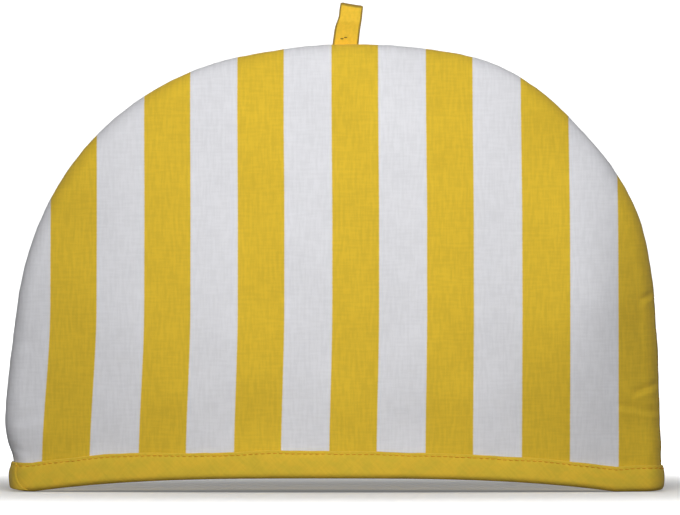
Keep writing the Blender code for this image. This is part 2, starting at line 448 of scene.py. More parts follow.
@dataclass(frozen=True)
class StripedCotton(Finish):
    """Plain-woven cotton with broad yellow stripes on white.

    Attributes:
        repeat: From one yellow stripe to the next.
        yellow_width: How wide a yellow stripe is.
        yellow_middle: Where the middle of one yellow stripe is, across the stripes.
        edge_blur: Over what width one colour gives way to the other.
        edge_wander: How far a stripe's edge strays from its line.
        wanders: How often it strays, to a metre across and along the stripes.
        dye_unevenness: How much more the slubs of the yellow yarn show than those of the white.
    """

    name: str = "striped_cotton"
    yellow: Color = (0.775, 0.522, 0.036)
    white: Color = (0.80, 0.80, 0.835)
    repeat: float = 50.1 * MM
    yellow_width: float = 24.8 * MM
    yellow_middle: float = 10.7 * MM
    edge_blur: float = 0.7 * MM
    edge_wander: float = 0.14 * MM
    wanders: Span = (300.0, 900.0)
    dye_unevenness: float = 0.55
    weave: Weave = Weave()
    roughness: float = 0.9
    sheen: float = 0.12

    def wire(self, wiring: Wiring) -> None:
        """Adds its nodes: the distance to the nearest yellow stripe's middle picks the colour.

        Args:
            wiring: The cloth's material.
        """
        cloth, shade, height = self.weave.lay(wiring)
        across = wiring.node("Attribute", {}, output=2, attribute_name=ACROSS_STRIPES)
        stray = wiring.math("SUBTRACT", wiring.noise(cloth, (*self.wanders, 1.0)), 0.5)
        place = wiring.math("MULTIPLY_ADD", stray, 2 * self.edge_wander, across)
        half = self.repeat / 2
        # 0 in the middle of each yellow stripe, rising evenly to 1 in the middle of each white one.
        steps = wiring.math("MULTIPLY_ADD", place, 1 / half, -self.yellow_middle / half)
        away = wiring.math("PINGPONG", steps, 1.0)
        edge, soft = self.yellow_width / self.repeat, self.edge_blur / self.repeat
        share = wiring.ease(away, edge - soft, edge + soft, 1.0, 0.0)
        color = wiring.mix(share, rgba(self.white), rgba(self.yellow))
        # The yellow yarn took its dye unevenly, so its slubs show more than the white ones.
        stronger = wiring.math("MULTIPLY_ADD", share, self.dye_unevenness, 1.0)
        shade = wiring.math("MULTIPLY_ADD", wiring.math("SUBTRACT", shade, 1.0), stronger, 1.0)
        self.join(wiring, color, shade, height)


@dataclass(frozen=True)
class PlainCotton(Finish):
    """Plain-woven cotton of one colour, a little uneven in its dye.

    Attributes:
        color: Its colour.
        second_color: The colour that its dye strays to in patches.
        patches: Patches of dye to a metre, across and along the cloth.
        patch_noise: From the first colour to the second, on their noise.
    """

    name: str
    color: Color
    second_color: Color
    weave: Weave
    patches: Span = (90.0, 140.0)
    patch_noise: Span = (0.35, 0.65)
    roughness: float = 0.88
    sheen: float = 0.12

    def wire(self, wiring: Wiring) -> None:
        """Adds its nodes."""
        cloth, shade, height = self.weave.lay(wiring)
        self.join(wiring, self.dye(wiring, cloth), shade, height)

    def dye(self, wiring: Wiring, cloth: Any) -> Any:
        """The socket of the cloth's colour: two near shades, in soft patches."""
        patch = wiring.ease(wiring.noise(cloth, (*self.patches, 1.0)), *self.patch_noise, 0.0, 1.0)
        return wiring.mix(patch, rgba(self.color), rgba(self.second_color))


@dataclass(frozen=True)
class TapeCotton(PlainCotton):
    """Cotton tape with painted shade along its edges and where it is doubled over.

    Attributes:
        edge_shade_color: The colour of the painted shade.
        edge_from: How far from the tape's middle line it starts to darken.
        edge_full: How far from there it is darkest.
        edge_shade_share: How much shade is painted there.
        middle: Where along the tape it is doubled over.
        fold_full: How far from the fold it is still darkest.
        fold_to: How far from it the painted shade ends.
        fold_shade_share: How much shade is painted on the fold.
    """

    edge_shade_color: Color = (0.28, 0.18, 0.03)
    edge_from: float = 4.8 * MM
    edge_full: float = 5.5 * MM
    edge_shade_share: float = 0.9
    middle: float = 24.0 * MM
    fold_full: float = 1.4 * MM
    fold_to: float = 2.5 * MM
    fold_shade_share: float = 0.85

    def dye(self, wiring: Wiring, cloth: Any) -> Any:
        """The plain dye, with painted shade near both edges and on the fold.

        Args:
            wiring: The cloth's material.
            cloth: The unturned cloth coordinate.

        Returns:
            The socket of its colour.
        """
        u, v, _ = wiring.axes(cloth)
        # Painted shade: the tape's colour is darkened along both long edges and across the fold.
        from_fold = wiring.math("ABSOLUTE", wiring.math("SUBTRACT", v, self.middle))
        edge = wiring.ease(wiring.math("ABSOLUTE", u), self.edge_from, self.edge_full, 0.0, self.edge_shade_share)
        fold = wiring.ease(from_fold, self.fold_full, self.fold_to, self.fold_shade_share, 0.0)
        painted_shade = wiring.math("MAXIMUM", edge, fold)
        return wiring.mix(painted_shade, super().dye(wiring, cloth), rgba(self.edge_shade_color))


@dataclass(frozen=True)
class SewingThread(Finish):
    """Two-ply sewing thread, whose plies wind round it.

    Attributes:
        color: Its colour.
        groove_shade_color: Painted shade in the groove between two plies.
        ply: From one ply to the next, along the thread.
        ply_depth: How deep the groove is.
    """

    name: str
    color: Color
    groove_shade_color: Color
    ply: float = 0.5 * MM
    ply_depth: float = 0.04 * MM
    roughness: float = 0.7
    sheen: float = 0.02

    def wire(self, wiring: Wiring) -> None:
        """Adds its nodes: V runs once round the thread, so a slanting wave winds round it.

        Args:
            wiring: The thread's material.
        """
        u, v, _ = wiring.axes(wiring.node("UVMap", {}, uv_map=CLOTH_UV))
        round_it = wiring.math("MULTIPLY", v, 2 * math.pi)
        wound = wiring.math("MULTIPLY_ADD", u, 2 * math.pi / self.ply, round_it)
        ridge = wiring.math("MULTIPLY_ADD", wiring.math("SINE", wound), 0.5, 0.5)
        # Painted shade: the colour darkens in the groove between the plies.
        color = wiring.mix(ridge, rgba(self.groove_shade_color), rgba(self.color))
        self.join(wiring, color, 1.0, wiring.math("MULTIPLY", ridge, self.ply_depth))


# --- The cosy's form -------------------------------------------------------------------------------


@dataclass
class CosyForm:
    """The middle surface of the front panel's wall, which the back one mirrors.

    It is a function of a flat half disc of radius 2, whose straight side is the hem. Out to radius
    1 the panel curves gently. From 1 to 2 its rim swings round a quarter turn to the seam.

    Attributes:
        hem_band: The height at which the dome ends. The hem below it runs straight down.
        width_power: The seam's power across, and height_power the one upwards.
        swells: The places where the sewn seam swings out of its curve.
        rim_radius: The radius of the rim's quarter turn.
        rim_share: The share of the bowl that is left for the rim to cross.
        spread: How deep the bowl is.
        full_half_wall: Half the wall's thickness where it is full, and so on for the seam and hem.
        corner_reach: How far out the hem's corners begin, and where the seam is.
        apex_lean: How far the top leans to the right.
        pinch_left: How far the body is drawn in at the hem's left end.
        pinch_right: How far it splays at the right end.
        arch_rise: How far the hem's middle is lifted, which fades out up to arch_fade_top.
        centring: How far the whole is moved, so that it stands in the middle of its footprint.
    """

    seam_half_width: float = 172.1 * MM
    seam_height: float = 235.2 * MM
    hem_band: float = 15.0 * MM
    width_power: float = 2.3
    height_power: float = 3.0
    swells: Waves = (  # degrees from the right end, width in degrees, how far out
        (3.2, 2.2, 1.0 * MM),
        (12, 5.5, -1.3 * MM),
        (20.5, 4, -1.0 * MM),
        (36, 6, 1.4 * MM),
        (52, 6, -1.6 * MM),
        (69, 7, 1.7 * MM),
        (102, 6, -0.9 * MM),
        (161, 7.5, -1.3 * MM),
        (174, 3, 0.9 * MM),
    )
    rim_radius: float = 8.0 * MM
    rim_share: float = 0.045
    spread: float = 32.0 * MM
    full_half_wall: float = 4.25 * MM
    seam_half_wall: float = 1.0 * MM
    hem_half_wall: float = 2.3 * MM
    corner_half_wall: float = 1.0 * MM
    corner_reach: Span = (1.1, 2.0)
    full_wall_height: float = 52.0 * MM
    wall_swell_power: float = 2.3
    apex_lean: float = 8.6 * MM
    pinch_left: float = 2.8 * MM
    pinch_right: float = 1.3 * MM
    pinch_x: Span = (60.0 * MM, 168.0 * MM)
    pinch_top: float = 30.0 * MM
    arch_rise: float = 7.8 * MM
    arch_middle_x: float = -6.0 * MM
    arch_half_span: float = 154.0 * MM
    arch_power: float = 3.0
    arch_fade_top: float = 205.0 * MM
    centring: float = -1.1 * MM
    outline_steps: int = 6000
    slope_step: float = 1e-4

    def seam_line(self, turn: Array) -> tuple[Array, ...]:
        """The seam, as a superellipse: (|x| / half width) ^ 2.3 + (height / full height) ^ 3 = 1.

        Args:
            turn: 0 at the hem's right end and pi at its left end, even along the seam.

        Returns:
            X and height above the hem band, and the outward normal's X and Z.
        """
        angle = np.linspace(0, math.pi, self.outline_steps)
        rise = self.seam_height - self.hem_band
        x = self.seam_half_width * np.sign(np.cos(angle)) * np.abs(np.cos(angle)) ** (2 / self.width_power)
        z = rise * np.abs(np.sin(angle)) ** (2 / self.height_power)
        z[[0, -1]] = 0
        length = travelled(np.hypot(np.diff(x), np.diff(z)))
        even_turn = math.pi * length / length[-1]
        x = np.interp(turn, even_turn, x)
        z = np.interp(turn, even_turn, z)
        wide = np.abs(x / self.seam_half_width) ** (self.width_power - 1)
        normal_x = self.width_power * np.sign(x) * wide / self.seam_half_width
        normal_z = self.height_power * (z / rise) ** (self.height_power - 1) / rise
        size = np.hypot(normal_x, normal_z)
        normal_x, normal_z = normal_x / size, normal_z / size
        out = bells(turn, [(math.radians(at), math.radians(wide), high) for at, wide, high in self.swells])
        return x + out * normal_x, z + out * normal_z, normal_x, normal_z

    def rim_swing(self, reach: Array) -> Array:
        """A right angle on the open panel, falling evenly to 0 at the seam."""
        return np.clip(2 - reach, 0, 1) * math.pi / 2

    def arch(self, x: Array) -> Array:
        """How far the hem is lifted: the rise times 1 minus the cube of the share of the half span."""
        share = np.clip(np.abs(x - self.arch_middle_x) / self.arch_half_span, 0, 1)
        return self.arch_rise * (1 - share**self.arch_power)

    def settle(self, x: Array, y: Array, z: Array) -> Array:
        """The even dome's points, moved as the standing cosy leans, pinches in at the hem and arches.

        Args:
            x: X of each point.
            y: Y of each.
            z: Z of each, before the hem arches.

        Returns:
            The moved points.
        """
        left, right = smoothstep(*self.pinch_x, -x), smoothstep(*self.pinch_x, x)
        pinch = self.pinch_left * left + self.pinch_right * right
        share = np.maximum(z - self.hem_band, 0) / (self.seam_height - self.hem_band)
        low = 1 - smoothstep(self.hem_band, self.pinch_top, z)
        x = x + self.centring + self.apex_lean * share**2 + pinch * low
        z = z + self.arch(x) * (1 - smoothstep(self.hem_band, self.arch_fade_top, z))
        return np.stack([x, y, z], axis=-1)

    def wall_middle(self, flat_x: Array, flat_z: Array) -> Array:
        """Points of the middle surface: the depth is a bowl, 1 minus share squared, on a round rim.

        Args:
            flat_x: X of each point on the flat half disc.
            flat_z: Z of each point on it.

        Returns:
            The points, in metres.
        """
        flat_z = np.maximum(flat_z, 0)
        reach = np.minimum(np.hypot(flat_x, flat_z), 2)
        x, z, normal_x, normal_z = self.seam_line(np.arctan2(flat_z, flat_x))
        swing = self.rim_swing(reach)
        inset = self.rim_radius * (1 - np.cos(swing))
        inner = np.minimum(reach, 1)
        share = inner * (1 - self.rim_share * (1 - np.cos(swing)))
        depth = self.rim_radius * np.sin(swing) + self.spread * (1 - share**2)
        x, z = inner * (x - inset * normal_x), inner * (z - inset * normal_z)
        return self.settle(x, -depth, self.hem_band + z)

    def wall_normal(self, flat_x: Array, flat_z: Array) -> Array:
        """Unit normals of the middle surface, out of the cosy, from differences across a small step.

        Args:
            flat_x: X of each point on the flat half disc.
            flat_z: Z of each point on it.

        Returns:
            The normals.
        """
        step = self.slope_step
        along_x = self.wall_middle(flat_x + step, flat_z) - self.wall_middle(flat_x - step, flat_z)
        along_z = self.wall_middle(flat_x, flat_z + step) - self.wall_middle(flat_x, flat_z - step)
        normal = np.cross(along_x, along_z)
        return normal / np.linalg.norm(normal, axis=-1, keepdims=True)

    def corner(self, reach: Array) -> Array:
        """0 along the hem, rising to 1 in its two corners."""
        return smoothstep(*self.corner_reach, reach)

    def hem_half(self, reach: Array) -> Array:
        """Half the wall's thickness under the binding: less in the two corners, where it is sewn flat."""
        return self.hem_half_wall + (self.corner_half_wall - self.hem_half_wall) * self.corner(reach)

    def half_wall(self, flat_x: Array, flat_z: Array) -> Array:
        """Half the wall's thickness: thin in the seam and under the binding, full between them.

        Args:
            flat_x: X of each point on the flat half disc.
            flat_z: Z of each point on it.

        Returns:
            Half the thickness at each point.
        """
        reach = np.hypot(flat_x, flat_z)
        swell = 1 - (1 - np.sin(self.rim_swing(reach))) ** self.wall_swell_power
        body = self.seam_half_wall + (self.full_half_wall - self.seam_half_wall) * swell
        height = self.hem_band + np.minimum(reach, 1) * self.seam_line(np.arctan2(flat_z, flat_x))[1]
        hem = self.hem_half(reach)
        return hem + (body - hem) * smoothstep(self.hem_band, self.full_wall_height, height)

    def seam_distance(self, reach: Array) -> Array:
        """How far a point is from the seam along the cloth: the rim's arc, and the open panel's radius."""
        return self.rim_radius * self.rim_swing(reach) + (1 - np.minimum(reach, 1)) * self.seam_half_width

    def cloth_place(self, flat_x: Array, flat_z: Array, points: Array) -> Array:
        """U and V of the cloth: X and Z, and on the rim the arc's length beyond its width, outwards.

        Args:
            flat_x: X of each point on the flat half disc.
            flat_z: Z of each point on it.
            points: The cloth's points.

        Returns:
            U and V of each point.
        """
        _, _, normal_x, normal_z = self.seam_line(np.arctan2(flat_z, flat_x))
        swing = self.rim_swing(np.hypot(flat_x, flat_z))
        spare = self.rim_radius * (math.pi / 2 - swing - np.cos(swing))
        return points[:, [0, 2]] + spare[:, None] * np.stack([normal_x, normal_z], axis=-1)


# --- The panels ------------------------------------------------------------------------------------


class Side(Enum):
    """Which of the two panels: the value is the sign of its Y."""

    FRONT = -1
    BACK = 1


@dataclass(frozen=True)
class Crease:
    """A soft trough across the padding, with a low ridge beside it.

    Attributes:
        start: X and Z where it begins.
        end: X and Z where it runs out.
        width: How wide the trough is.
        depth: How deep it is.
        ridge: How high the ridge on its lower side stands.
        ridge_away: How far from the trough it runs, in the trough's widths.
    """

    start: Span
    end: Span
    width: float
    depth: float
    ridge: float
    ridge_away: float = 1.7

    def height(self, x: Array, z: Array) -> Array:
        """A bell-shaped trough along a straight line, faded out at both ends, with a ridge below it.

        Args:
            x: X of each point.
            z: Z of each point.

        Returns:
            How far each point stands out.
        """
        run = np.subtract(self.end, self.start)
        length = math.hypot(*run)
        along = ((x - self.start[0]) * run[0] + (z - self.start[1]) * run[1]) / length
        aside = ((z - self.start[1]) * run[0] - (x - self.start[0]) * run[1]) / length
        soft = self.width
        fade = smoothstep(-soft, soft, along) * smoothstep(-soft, soft, length - along)
        trough = -self.depth * bell(aside, self.width)
        below = aside * np.sign(run[0]) + self.ridge_away * self.width
        return (trough + self.ridge * bell(below, self.width)) * fade


FRONT_CREASES = (
    Crease((0.1700, 0.1074), (0.1600, 0.1015), 1.4 * MM, 1.00 * MM, 0.55 * MM),
    Crease((0.1712, 0.0585), (0.1570, 0.0520), 1.6 * MM, 0.80 * MM, 0.45 * MM),
    Crease((0.1480, 0.0460), (0.1725, 0.0415), 1.8 * MM, 0.65 * MM, 0.35 * MM),
    Crease((-0.1745, 0.0900), (-0.1640, 0.0850), 3.0 * MM, 0.50 * MM, 0.20 * MM),
    Crease((-0.1740, 0.0770), (-0.1600, 0.0800), 3.5 * MM, 0.40 * MM, 0.20 * MM),
    Crease((-0.1700, 0.0370), (-0.1560, 0.0410), 3.0 * MM, 0.45 * MM, 0.25 * MM),
    Crease((-0.1705, 0.0250), (-0.1620, 0.0200), 1.8 * MM, 0.35 * MM, 0.15 * MM),
)
BACK_CREASES = (
    Crease((-0.1700, 0.1210), (-0.1580, 0.1150), 1.8 * MM, 0.60 * MM, 0.35 * MM),
    Crease((-0.1450, 0.0440), (-0.1700, 0.0400), 2.2 * MM, 0.45 * MM, 0.25 * MM),
    Crease((0.1720, 0.0760), (0.1560, 0.0700), 2.6 * MM, 0.50 * MM, 0.25 * MM),
    Crease((0.0300, 0.0300), (0.0520, 0.0275), 3.0 * MM, 0.40 * MM, 0.20 * MM),
)


@dataclass(frozen=True)
class StripeLay:
    """How the stripes lie on a panel: upright, but stretched a little here and there as it was sewn.

    Attributes:
        lean: How far they run out to the left at the hem, all of it at the second place in lean_x.
        even_lean: The share of it that grows evenly to the left. The rest grows with the cube.
        low_z: The heights between which they straighten.
        middle_ease: How far those near middle_x run out to the left at the hem.
        top_ease: How far they run to the left at the top.
        left_ease: How much they are squeezed together on the left, and right_ease spread on the right.
        stretch: How much the last one is stretched beyond full_x, round the side to the seam.
    """

    lean: float = 4.5 * MM
    even_lean: float = 0.55
    lean_x: Span = (116.0 * MM, -152.0 * MM)
    low_z: Span = (10.0 * MM, 100.0 * MM)
    middle_ease: float = 0.45 * MM
    middle_x: float = 12.0 * MM
    middle_width: float = 40.0 * MM
    top_ease: float = 0.45 * MM
    top_z: Span = (140.0 * MM, 215.0 * MM)
    left_ease: float = 0.75 * MM
    left_x: Span = (30.0 * MM, 110.0 * MM)
    right_ease: float = 1.2 * MM
    right_x: Span = (75.0 * MM, 150.0 * MM)
    full_x: float = 150.0 * MM
    stretch: float = 0.12

    def across(self, points: Array) -> Array:
        """How far across the stripes each point is.

        Args:
            points: Points of the panel, before the back one is turned round.

        Returns:
            X, moved by the lean, the easing and the stretching.
        """
        x, z = points[:, 0], points[:, 2]
        share = (x - self.lean_x[0]) / (self.lean_x[1] - self.lean_x[0])
        low = 1 - smoothstep(*self.low_z, z)
        lean = self.lean * (self.even_lean * share + (1 - self.even_lean) * share**3) * low
        lean += self.middle_ease * bell(x - self.middle_x, self.middle_width) * low
        lean += self.top_ease * smoothstep(*self.top_z, z)
        left, right = smoothstep(*self.left_x, -x), smoothstep(*self.right_x, x)
        eased = self.left_ease * left + self.right_ease * right
        return x + lean - eased - np.maximum(x - self.full_x, 0) * self.stretch


@dataclass(frozen=True)
class SideBulge:
    """The wadding on a panel's right side, which bulges and falls back steeply beside the seam.

    Attributes:
        out: How far it bulges.
        turn: How far round the seam it starts to end, and where it has ended.
        height: The height above the hem at which it is full.
        reach: How far out it starts to rise, and where its fold is, as shares of the open panel.
        power: How sharply it turns over in the fold.
    """

    out: float = 11.0 * MM
    turn: Span = (math.radians(26), math.radians(58))
    height: float = 100.0 * MM
    reach: Span = (0.48, 0.85)
    power: float = 1.6

    def rise(self, form: CosyForm, reach: Array, turn: Array, above: Array) -> Array:
        """How far it stands out: a rise to the fold, then 1 minus a power of the way to the seam.

        Args:
            form: The cosy's form.
            reach: How far out each point is on the flat half disc.
            turn: How far round the seam each is.
            above: How far above the hem band each is.

        Returns:
            The rise of each point.
        """
        inner, fold = np.minimum(reach, 1), self.reach[1]
        right = self.out * (1 - smoothstep(*self.turn, turn))
        right = right * (1 - (1 - np.clip(above / self.height, 0, 1)) ** 2)
        rim, width = form.rim_radius, form.seam_half_width - form.rim_radius
        past = np.maximum(inner - fold, 0) * width + rim * np.cos(form.rim_swing(reach))
        past = past / ((1 - fold) * width + rim)
        return right * smoothstep(*self.reach, inner) * (1 - past**self.power)


@dataclass
class PaddedPanel:
    """One wadded panel: striped cotton outside, wadding between, plain lining inside.

    Attributes:
        bulge: The bulge of its right side, if it has one.
        columns: Columns of faces across the open panel, and rows up it.
        rim_rows: Rows of faces round its rim, and hem_rows down its hem.
        hem_bottom: How far above the hem's lowest line it ends, inside the binding.
        seam_draw: How far the seam draws the cloth in beside it.
        fullness: Four times how far the wadding fills it out at most, from full_above up.
        padding_waves: Its lumps of wadding, which fade in from the seam over padded_from.
        pucker_waves: Its puckers beside the seam and the binding, as far off as pucker_reach.
        free_above: Where its face starts to be uneven above the binding, and where it is fully so.
        lining_reach: How far out the lining is smooth, and where it is fully uneven.
    """

    form: CosyForm
    side: Side
    creases: tuple[Crease, ...]
    bulge: SideBulge | None = None
    stripes: StripeLay = StripeLay()
    columns: int = 190
    rows: int = 104
    rim_rows: int = 18
    hem_rows: int = 5
    hem_bottom: float = 1.6 * MM
    seam_draw: float = 0.55 * MM
    seam_draw_width: float = 1.3 * MM
    fullness: float = 20.0 * MM
    full_above: Span = (2.0 * MM, 75.0 * MM)
    padding_waves: Waves = (
        (83 * MM, 12, 0.4, 0.16 * MM),
        (61 * MM, 74, 2.1, 0.14 * MM),
        (47 * MM, 131, 4.4, 0.11 * MM),
        (34 * MM, 40, 1.2, 0.07 * MM),
        (27 * MM, 102, 5.3, 0.05 * MM),
    )
    padded_from: Span = (2.0 * MM, 14.0 * MM)
    pucker_waves: Waves = (
        (6.1 * MM, 0, 0.0, 0.05 * MM),
        (9.7 * MM, 0, 1.9, 0.07 * MM),
        (14.3 * MM, 0, 4.0, 0.08 * MM),
    )
    pucker_reach: float = 6.0 * MM
    creased_from: Span = (3.0 * MM, 9.0 * MM)
    free_above: Span = (-1.0 * MM, 5.0 * MM)
    lining_reach: Span = (1.3, 1.0)
    lining_z: Span = (20.0 * MM, 40.0 * MM)

    def grid(self) -> tuple[Array, ...]:
        """Where the panel's points are on the flat half disc.

        Returns:
            Flat X, flat Z, how far each point hangs below the hem band, and the faces.
        """
        across, up = np.meshgrid(np.linspace(-1, 1, self.columns + 1), np.linspace(0, 1, self.rows + 1))
        body_x = across * np.sqrt(1 - up**2 / 2)
        body_z = up * np.sqrt(1 - across**2 / 2)
        body = np.arange(body_x.size).reshape(body_x.shape)
        border = np.concatenate([body[:-1, -1], body[-1, ::-1], body[-2::-1, 0]])
        turn = np.arctan2(body_z.ravel()[border], body_x.ravel()[border])
        radii = 1 + np.arange(1, self.rim_rows + 1)[:, None] / self.rim_rows
        rim_x, rim_z = radii * np.cos(turn), radii * np.abs(np.sin(turn))
        rim = body.size + np.arange(rim_x.size).reshape(rim_x.shape)
        hem_top = np.concatenate([rim[::-1, -1], body[0], rim[:, 0]])
        all_x = np.concatenate([body_x.ravel(), rim_x.ravel()])
        hem_x = np.tile(all_x[hem_top], self.hem_rows)
        hem = body.size + rim.size + np.arange(hem_x.size).reshape(self.hem_rows, -1)
        flat_x = np.concatenate([all_x, hem_x])
        flat_z = np.concatenate([body_z.ravel(), rim_z.ravel(), np.zeros(hem_x.size)])
        below = np.zeros(flat_x.size)
        drops = (self.form.hem_band - self.hem_bottom) * np.arange(self.hem_rows, 0, -1) / self.hem_rows
        below[hem] = drops[:, None]
        quads = [corners(body), corners(np.vstack([border, rim]).T), corners(np.vstack([hem, hem_top]))]
        return flat_x, flat_z, below, np.concatenate(quads)

    def relief(self, points: Array, turn: Array, from_seam: Array) -> Array:
        """How far the cloth stands out of its even curve: lumps of wadding, puckers and creases.

        Args:
            points: Points of the middle surface.
            turn: How far round the seam each is.
            from_seam: How far each is from the seam.

        Returns:
            The height of each point.
        """
        x, z = points[:, 0], points[:, 2]
        height = waves(x, z, self.padding_waves) * smoothstep(*self.padded_from, from_seam)
        along_seam = turn * self.form.seam_half_width
        height += waves(along_seam, x, self.pucker_waves) * np.exp(-from_seam / self.pucker_reach)
        above_hem = np.maximum(z - self.form.hem_band, 0)
        height += waves(x, z, self.pucker_waves) * np.exp(-above_hem / self.pucker_reach)
        height -= self.seam_draw * bell(from_seam, self.seam_draw_width)
        off_seam = smoothstep(*self.creased_from, from_seam)
        for crease in self.creases:
            height += crease.height(x, z) * off_seam
        return height * smoothstep(*self.free_above, z - self.form.arch(x) - self.form.hem_band)

    def fill_out(self, points: Array, reach: Array, turn: Array) -> Array:
        """How much the wadding fills the panel out: reach squared minus its fourth power, and its bulge.

        Args:
            points: Points of the middle surface.
            reach: How far out each is on the flat half disc.
            turn: How far round the seam each is.

        Returns:
            How far each point moves away from the other panel.
        """
        inner = np.minimum(reach, 1)
        above = points[:, 2] - self.form.hem_band
        fuller = self.fullness * (inner**2 - inner**4) * smoothstep(*self.full_above, above)
        if self.bulge is not None:
            fuller += self.bulge.rise(self.form, reach, turn, above)
        return fuller * np.sin(self.form.rim_swing(reach))

    def build(self, name: str, face: Material, lining: Material) -> Object:
        """Args:
            name: The piece's name.
            face: The striped cotton.
            lining: The lining.

        Returns:
            The panel.
        """
        flat_x, flat_z, below, quads = self.grid()
        points = self.form.wall_middle(flat_x, flat_z)
        points[:, 2] -= below
        normals = self.form.wall_normal(flat_x, flat_z)
        half = self.form.half_wall(flat_x, flat_z)
        reach, turn = np.hypot(flat_x, flat_z), np.arctan2(flat_z, flat_x)
        relief = self.relief(points, turn, self.form.seam_distance(reach))
        points[:, 1] -= self.fill_out(points, reach, turn)
        outer = points + normals * (half + relief)[:, None]
        uneven = smoothstep(*self.lining_reach, reach) * smoothstep(*self.lining_z, points[:, 2])
        lumps = waves(points[:, 2], points[:, 0], self.padding_waves) * uneven
        inner = points - normals * (half + lumps)[:, None]
        cloth = self.form.cloth_place(flat_x, flat_z, outer)
        surface = sheet_solid(outer, inner, quads, cloth, inner_finish=1)
        surface.stripes = self.stripes.across(surface.points)
        if self.side is Side.BACK:
            surface = surface.mirrored()
        panel = surface.piece(name, [face, lining])
        dress(panel, "panel_cotton", "panel_" + self.side.name.lower())
        return panel


# --- The binding -----------------------------------------------------------------------------------

# The points of the folded strip's section: shares of each leg's height above the fold, closest
# together near its stitching, and turns round the fold and over the cloth's edges.
OUTER_SHARES = np.concatenate([np.linspace(1, 0.76, 10), np.linspace(0.72, 0, 13)])
INNER_SHARES = np.concatenate([np.linspace(0, 0.72, 6), np.linspace(0.8, 1, 4)])
GROOVE_SHARES = np.linspace(1, 0.08, 5)
FOLD_TURNS = np.linspace(0, math.pi, 11)[1:-1]
EDGE_TURNS = np.radians([30, 90, 150])


@dataclass
class HemLine:
    """The middle line of the two panels' hems, right round, by the distance from its left end."""

    form: CosyForm
    steps: int = 6000
    flat_x: Array = field(init=False)
    travel: Array = field(init=False)

    def __post_init__(self) -> None:
        """Measures the line across the front panel."""
        self.flat_x = np.linspace(-2, 2, self.steps)
        points = self.form.wall_middle(self.flat_x, np.zeros(self.steps))
        self.travel = travelled(np.linalg.norm(np.diff(points, axis=0), axis=1))

    @property
    def length(self) -> float:
        """The whole way round."""
        return 2 * float(self.travel[-1])

    def at(self, distance: Array) -> tuple[Array, Array, Array]:
        """The line at these distances from its left end, across the front and back along the back.

        Args:
            distance: Distances in metres, of any sign and size.

        Returns:
            Points, normals in plan, and how far out each is on the flat half disc.
        """
        wrapped = np.mod(distance, self.length)
        behind = wrapped > self.length / 2
        flat_x = np.interp(np.where(behind, self.length - wrapped, wrapped), self.travel, self.flat_x)
        level = np.zeros(flat_x.shape)
        points, normals = self.form.wall_middle(flat_x, level), self.form.wall_normal(flat_x, level)
        side = np.where(behind, -1, 1)
        points[..., 1] *= side
        normals[..., 1] *= side
        return points, normals, np.abs(flat_x)

    def from_end(self, distance: Array, end: float) -> Array:
        """How far it is, along the line, to its left end (0) or its right end (half the length)."""
        away = np.mod(distance - end + self.length / 2, self.length) - self.length / 2
        return np.abs(away)


